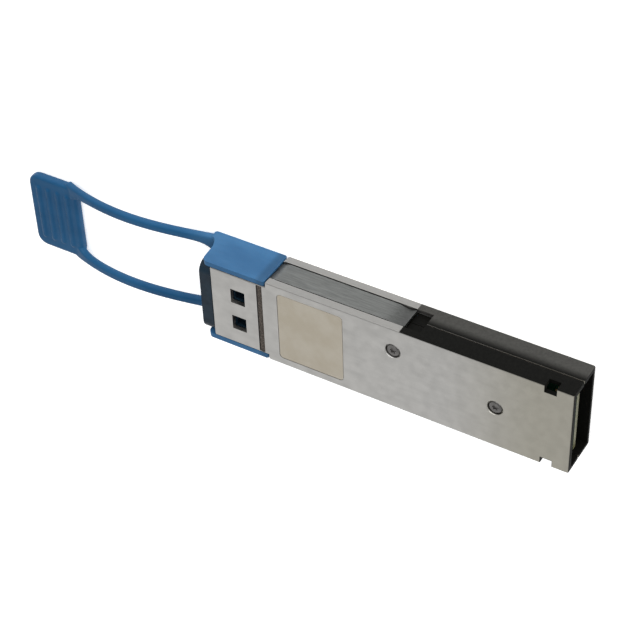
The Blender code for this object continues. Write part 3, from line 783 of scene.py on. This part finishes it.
def gasket_strip(node, up, steps=240):
    """A knitted strip with a crowned face that is slightly ribbed along its length."""
    low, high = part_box(node)
    section = 12
    rings = []
    for step in range(steps + 1):
        t = step / steps
        y = low[1] + t * (high[1] - low[1])
        end = min(1.0, min(t, 1 - t) * steps / 4)
        crown = (0.55 + 0.45 * math.sqrt(end)) * (1 - 0.10 * (step % 3 == 0))
        ring = []
        for i in range(section + 1):
            angle = math.pi * i / section
            x = (low[0] + high[0]) / 2 - math.cos(angle) * (high[0] - low[0]) / 2
            rise = (high[2] - low[2]) * (0.45 + 0.55 * math.sin(angle) * crown)
            z = low[2] + rise if up > 0 else high[2] - rise
            ring.append((x, y, z))
        base = low[2] if up > 0 else high[2]
        ring += [(high[0], y, base), (low[0], y, base)]
        rings.append(ring)
    return smooth(skin(node, rings), 50)


# ---------------------------------------------------------------- fibre receptacle and optics


def shape_receptacle(receptacle):
    """Lead-in chamfers and latch keyways of the two bays."""
    low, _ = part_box("lc_receptacle")
    lead = 0.35 * MM
    for y in PORT_Y.values():
        bay_y, bay_z = (y - 2.4 * MM, y + 2.4 * MM), (2.1 * MM, 7.0 * MM)
        rings = []
        for x, grow in ((low[0] - 0.05 * MM, lead + 0.05 * MM), (low[0] + lead, 0.0)):
            ys = (bay_y[0] - grow, bay_y[1] + grow)
            zs = (bay_z[0] - grow, bay_z[1] + grow)
            rings.append([(x, ys[0], zs[0]), (x, ys[1], zs[0]), (x, ys[1], zs[1]), (x, ys[0], zs[1])])
        cut(receptacle, skin("lead", rings))
        key_y = (y - 0.9 * MM, y + 0.9 * MM)
        cut(receptacle, block((low[0] - 1 * MM, low[0] + 1.6 * MM), key_y, (6.8 * MM, 7.4 * MM)))


def make_receptacle(looks):
    finished("lc_receptacle", HOUSING, looks["black"], 0.12 * MM, shape_receptacle)
    barrel = (
        (-33.0, 1.22),
        (-32.94, 1.32),
        (-32.75, 1.45),
        (-29.6, 1.45),
        (-29.5, 1.38),
        (-29.1, 1.38),
        (-29.0, 1.45),
        (-25.1, 1.45),
        (-25.1, 2.2),
        (-25.0, 2.3),
        (-24.2, 2.3),
        (-24.1, 2.2),
        (-24.1, 1.7),
        (-22.7, 1.7),
        (-22.6, 1.6),
        (-22.6, 0.4),
        (-27.4, 0.4),
        (-27.4, 0.9),
        (-32.85, 0.9),
        (-33.0, 1.02),
    )
    sleeve = ((-32.6, 0.80), (-32.55, 0.83), (-27.65, 0.83), (-27.6, 0.80), (-27.6, 0.63), (-32.6, 0.63))
    for port, y in PORT_Y.items():
        points = [(x * MM, r * MM) for x, r in barrel]
        body = smooth(turned(port, points, y, SEAM_Z), 25)
        node = port + "_port_barrel"
        present(body, node + "_finished", HOUSING, looks["turned"], MATERIAL_SLOT[node], node)
        points = [(x * MM, r * MM) for x, r in sleeve]
        split = turned(port, points, y, SEAM_Z)
        slit = block((-33 * MM, -27 * MM), (y - 0.08 * MM, y + 0.08 * MM), (SEAM_Z, SEAM_Z + 1 * MM))
        node = port + "_ferrule_sleeve"
        split = smooth(cut(split, slit), 25)
        present(split, node + "_split", HOUSING, looks["ceramic"], MATERIAL_SLOT[node], node)
    finished("port_saddle", HOUSING, looks["steel"], 0.08 * MM)
    for node in ("laser_package", "receiver_package"):
        finished(node, HOUSING, looks["gold"], 0.06 * MM, shape_package)


def shape_package(package):
    """A seam-welded lid: a shallow groove round the package below its top."""
    low, high = bounds_of(package)
    z = (high[2] - 0.7 * MM, high[2] - 0.55 * MM)
    ring = block((low[0] - 1 * MM, high[0] + 1 * MM), (low[1] - 1 * MM, high[1] + 1 * MM), z)
    core_x, core_y = (low[0] + 0.1 * MM, high[0] - 0.1 * MM), (low[1] + 0.1 * MM, high[1] - 0.1 * MM)
    cut(ring, block(core_x, core_y, (low[2], high[2])))
    cut(package, ring)


def bounds_of(obj):
    corners = [Vector(corner) for corner in obj.bound_box]
    return [[pick(corner[i] for corner in corners) for i in range(3)] for pick in (min, max)]


def make_flex_circuits(looks):
    """Films that leave the packages and come down on the board in soft bends."""
    for port in PORT_Y:
        node = port + "_flex_circuit"
        low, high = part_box(node)
        rise = ((0.0, 4.1), (0.16, 4.1), (0.34, 4.62), (0.52, 5.0), (0.68, 4.82), (0.80, 4.46), (1.0, 4.46))
        path = [(low[0] + t * (high[0] - low[0]), z * MM) for t, z in rise]
        film = prism(ribbon(filleted(path, 0.9 * MM), 0.12 * MM), (low[1], high[1]), "XZ")
        present(smooth(film, 40), node + "_bent", HOUSING, looks["flex"], MATERIAL_SLOT[node], node)


# ---------------------------------------------------------------- electronics


def make_board(looks):
    finished("main_board", HOUSING, looks["board"], 0.04 * MM)
    low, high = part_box("main_board")
    pads = []
    for i in range(CONTACTS_PER_SIDE):
        y = (i - (CONTACTS_PER_SIDE - 1) / 2) * CONTACT_PITCH
        is_ground = i % 3 == 0
        start = high[0] - (4.0 if is_ground else 3.5) * MM
        outline = rounded_rectangle((start, high[0] - 0.6 * MM), (y - 0.27 * MM, y + 0.27 * MM), 0.08 * MM, 3)
        for z in (low[2] - PAD_THICK, high[2]):
            pads.append(prism(outline, (z, z + PAD_THICK)))
    present(smooth(gathered("pads", pads), 30), "card_edge_contacts", HOUSING, looks["gold"], "gold_plate")


def leads_of(node, per_side=7):
    """Short leads along two sides of a chip, from its body down to the board."""
    low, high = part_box(node)
    board_low, board_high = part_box("main_board")
    below = high[2] < board_high[2]
    face = board_low[2] if below else board_high[2]
    z = (face - 0.09 * MM, face) if below else (face, face + 0.09 * MM)
    leads = []
    step = (high[0] - low[0]) / per_side
    for i in range(per_side):
        x = low[0] + step * (i + 0.5)
        for y in (low[1], high[1]):
            leads.append(block((x - 0.14 * MM, x + 0.14 * MM), (y - 0.22 * MM, y + 0.22 * MM), z))
    return leads


def shape_chip(chip):
    """The dimple that marks pin one."""
    low, high = bounds_of(chip)
    x, y = low[0] + 0.6 * MM, low[1] + 0.6 * MM
    cut(chip, cone((x, y, high[2] - 0.06 * MM), (x, y, high[2] + 0.06 * MM), 0.18 * MM, 0.26 * MM, sides=24))


def make_components(looks):
    leads = []
    for node in CHIPS:
        finished(node, HOUSING, looks["chip"], 0.03 * MM, shape_chip)
        leads += leads_of(node)
    for node in CAPACITORS:
        finished(node, HOUSING, looks["resin"], 0.05 * MM)
        leads += leads_of(node, per_side=2)
    for node in INDUCTORS:
        finished(node, HOUSING, looks["ferrite"], 0.12 * MM)
        leads += leads_of(node, per_side=2)
    finished("clock_crystal", HOUSING, looks["turned"], 0.08 * MM)
    leads += leads_of("clock_crystal", per_side=2)
    present(smooth(gathered("leads", leads), 30), "soldered_leads", HOUSING, looks["solder"], "turned_steel")
    for node in ("tx_thermal_pad", "rx_thermal_pad", "retimer_thermal_pad"):
        finished(node, HOUSING, looks["pad"], 0.06 * MM)
    finished("rf_absorber_pad", HOUSING, looks["absorber"], 0.06 * MM)
    finished("insulating_film", HOUSING, looks["flex"], 0.02 * MM)


# ---------------------------------------------------------------- slider, springs and pull tab


def make_slider(looks):
    """The stamped bracket with rounded bends and broken edges."""
    low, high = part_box("delatch_slider")
    steel = 0.4 * MM
    strap_x, strap_z = (low[0], low[0] + 4.0 * MM), (low[2], low[2] + steel)
    nose_y, body_y = 8.5 * MM, 8.85 * MM
    edge = nose_y + steel / 2
    hole = rounded_rectangle((strap_x[0] + 1.3 * MM, strap_x[1] - 1.3 * MM), (-2.2 * MM, 2.2 * MM), 0.6 * MM)
    slider = cut(block(strap_x, (-edge, edge), strap_z), prism(hole, (-1 * MM, 2 * MM)))
    plan = (
        (low[0], nose_y),
        (-23.6 * MM, nose_y),
        (-22.7 * MM, body_y),
        (0.0, body_y),
        (1.3 * MM, nose_y),
        (2.1 * MM, nose_y),
        (high[0], body_y),
    )
    for sign in SIDES.values():
        bends = filleted([(x, sign * y) for x, y in plan], 0.55 * MM)
        arm = prism(ribbon(bends, steel), (1.9 * MM, high[2]))
        web_y = sorted((sign * (nose_y - steel / 2), sign * edge))
        tang_y = sorted((sign * 6.6 * MM, sign * nose_y))
        web = block(strap_x, web_y, (strap_z[0], 2.4 * MM))
        tang = block((-27.4 * MM, -27.0 * MM), tang_y, (2.5 * MM, 3.9 * MM))
        join(slider, arm, web, tang)
    soften(slider, 0.07 * MM)
    node = "delatch_slider"
    present(slider, node + "_formed", SLIDING, looks["slider"], MATERIAL_SLOT[node], node)


def coil(node, turns=6, per_turn=40, sides=12):
    """A compression coil with closed ends, wound along X."""
    low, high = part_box(node)
    wire = 0.12 * MM
    radius = (high[2] - low[2]) / 2 - wire
    y, z = (low[1] + high[1]) / 2, (low[2] + high[2]) / 2
    start, end = low[0] + wire, high[0] - wire
    rings = []
    for i in range(turns * per_turn + 1):
        t = i / (turns * per_turn)
        angle = 2 * math.pi * turns * t
        along = t - 0.35 / (2 * math.pi) * math.sin(2 * math.pi * t)
        across, up = math.cos(angle), math.sin(angle)
        centre = Vector((start + (end - start) * along, y + radius * across, z + radius * up))
        outward = Vector((0, across, up))
        ring = []
        for k in range(sides):
            around = 2 * math.pi * k / sides
            ring.append(centre + wire * (outward * math.cos(around) + Vector((math.sin(around), 0, 0))))
        rings.append(ring)
    return smooth(skin(node, rings), 60)


def make_springs(looks):
    for side in SIDES:
        node = "return_spring_" + side
        spring = present(coil(node), node + "_wound", HOUSING, looks["spring"], MATERIAL_SLOT[node], node)
        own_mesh(spring)


def tab_arm(side, steps=72):
    """One arm: a rounded strip that arches from the grip to the nose and spreads at both ends."""
    start_x, end_x = TAB_ARM_X
    middle_y = SIDES[side] * sum(TAB_ARM_Y) / 2
    width, thick = TAB_ARM_Y[1] - TAB_ARM_Y[0], TAB_ARM_THICK
    line = []
    for i in range(steps + 1):
        t = i / steps
        rise = TAB_ARM_RISE * math.sin(math.pi * t**TAB_ARM_SKEW)
        line.append(Vector((start_x + t * (end_x - start_x), TAB_ARM_BASE + rise)))
    rings = []
    for i, point in enumerate(line):
        along = (line[min(i + 1, steps)] - line[max(i - 1, 0)]).normalized()
        across = Vector((-along.y, along.x))
        from_end = min(point.x - start_x, end_x - point.x)
        spread = 1.3 * MM * math.exp(-max(from_end - 1.6 * MM, 0) / (1.3 * MM))
        inner = middle_y - SIDES[side] * (width / 2 + spread)
        outer = middle_y + SIDES[side] * width / 2
        ring = rounded_rectangle(sorted((inner, outer)), (-thick / 2, thick / 2), 0.55 * MM, 4)
        rings.append([(point.x + v * across.x, u, point.y + v * across.y) for u, v in ring])
    return skin("arm", rings)


def tab_moulding():
    """Grip, ribs and arms run into one another with small radii, as they leave the mould."""
    grip_x, grip_half, top = (-81.55 * MM, -70.4 * MM), 8.5 * MM, 2.05 * MM
    grip = prism(rounded_rectangle(grip_x, (-grip_half, grip_half), 2.2 * MM), (TAB_BOTTOM, top))
    edge = grip.modifiers.new("round edge", "BEVEL")
    edge.width = 0.6 * MM
    edge.segments = 4
    edge.limit_method = "ANGLE"
    edge.angle_limit = math.radians(40)
    settle(grip)
    spacing = (grip_x[1] - grip_x[0]) / (GRIP_RIBS + 1)
    for rib in range(GRIP_RIBS):
        x = grip_x[0] + spacing * (rib + 1)
        outline = rounded_rectangle((x - 0.42 * MM, x + 0.42 * MM), (-6.2 * MM, 6.2 * MM), 0.4 * MM)
        join(grip, prism(outline, (top - 0.5 * MM, top + 0.27 * MM)))
    for side in SIDES:
        join(grip, tab_arm(side))
    remesh = grip.modifiers.new("one body", "REMESH")
    remesh.mode = "VOXEL"
    remesh.voxel_size = 0.17 * MM
    relax = grip.modifiers.new("mould radii", "SMOOTH")
    relax.factor = 0.5
    relax.iterations = 3
    settle(grip)
    grip.data.shade_smooth()
    return grip


def tab_collar():
    """The two cheeks beside the nose and the sill that joins them."""
    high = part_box("pull_tab")[1]
    outline = (
        (high[0], TAB_BOTTOM),
        (high[0], high[2]),
        (-36.6 * MM, high[2]),
        (-37.3 * MM, high[2] - 0.7 * MM),
        (-37.6 * MM, 4.0 * MM),
        (-38.4 * MM, 2.2 * MM),
        (-39.4 * MM, 1.7 * MM),
        (-39.4 * MM, TAB_BOTTOM),
    )
    collar = block((-38.7 * MM, -37.6 * MM), (-8.6 * MM, 8.6 * MM), (TAB_BOTTOM, 1.3 * MM))
    for sign in SIDES.values():
        cheek_y = sorted((sign * 8.2 * MM, sign * high[1]))
        pocket_y = sorted((sign * 8.0 * MM, sign * 8.8 * MM))
        cheek = prism(filleted(outline, 0.5 * MM, 4, closed=True), cheek_y, "XZ")
        cut(cheek, block((-34.2 * MM, -23 * MM), pocket_y, (0.2 * MM, 6.9 * MM)))
        join(collar, cheek)
    return soften(collar, 0.16 * MM, 3)


def make_tab(looks):
    present(tab_collar(), "pull_tab_collar", SLIDING, looks["blue"], "blue_plastic", "pull_tab")
    present(tab_moulding(), "pull_tab_grip", SLIDING, looks["blue"], "blue_plastic", "pull_tab")


# ---------------------------------------------------------------- everything together


def make_looks():
    """The finishes by the name the pieces ask for."""
    nickel = (0.47, 0.462, 0.445)
    matte = {
        "ceramic": ("zirconia_ceramic", (0.74, 0.72, 0.66), (0.82, 0.80, 0.75), 0.22, 0.4, 0.001),
        "chip": ("chip_epoxy", (0.012, 0.012, 0.013), (0.022, 0.022, 0.023), 0.5, 0.2, 0.003),
        "resin": ("capacitor_epoxy", (0.42, 0.24, 0.04), (0.52, 0.31, 0.07), 0.4, 0.5, 0.003),
        "ferrite": ("sintered_ferrite", (0.035, 0.035, 0.037), (0.065, 0.065, 0.07), 0.58, 0.25, 0.012),
        "solder": ("solder", (0.42, 0.42, 0.41), (0.58, 0.58, 0.57), 0.34, 0.2, 0.006, 1.0),
        "pad": ("gap_filler", (0.16, 0.24, 0.38), (0.22, 0.31, 0.46), 0.75, 0.5, 0.02),
        "absorber": ("ferrite_foam", (0.02, 0.02, 0.02), (0.045, 0.045, 0.045), 0.85, 0.2, 0.03),
    }
    return {
        # the last colour of each casting is the painted shade of its side walls
        "cover": plated_casting("nickel_cover", nickel, (0.415, 0.41, 0.395), (0.26, 0.255, 0.245)),
        "base": plated_casting("nickel_base", nickel, (0.40, 0.395, 0.38), (0.28, 0.275, 0.265)),
        "screw": sheet_steel("screw_steel_dark", (0.16, 0.155, 0.15), 0.34, grain=(1, 1, 1)),
        "label": label_film(),
        "rubber": conductive_elastomer(),
        "black": moulded_black(),
        "turned": sheet_steel("turned_steel_bright", (0.56, 0.55, 0.53), 0.24, grain=(2.5, 0.3, 0.3)),
        "steel": sheet_steel("saddle_steel", (0.40, 0.40, 0.39), 0.36),
        # the slider's rear end carries painted shade from x = -2.5 mm on
        "slider": sheet_steel("slider_steel", (0.155, 0.16, 0.155), 0.38, shade_from=-2.5),
        "spring": sheet_steel("spring_wire", (0.34, 0.34, 0.35), 0.28, grain=(1, 1, 1)),
        "gold": gold_plating(),
        "flex": flex_film(),
        "board": board_laminate(),
        "blue": moulded_blue(),
        **{key: fine_matte(*values) for key, values in matte.items()},
    }


make_camera()
make_studio()
finishes = make_looks()
for make in (
    make_housing,
    make_receptacle,
    make_flex_circuits,
    make_board,
    make_components,
    make_slider,
    make_springs,
    make_tab,
):
    make(finishes)
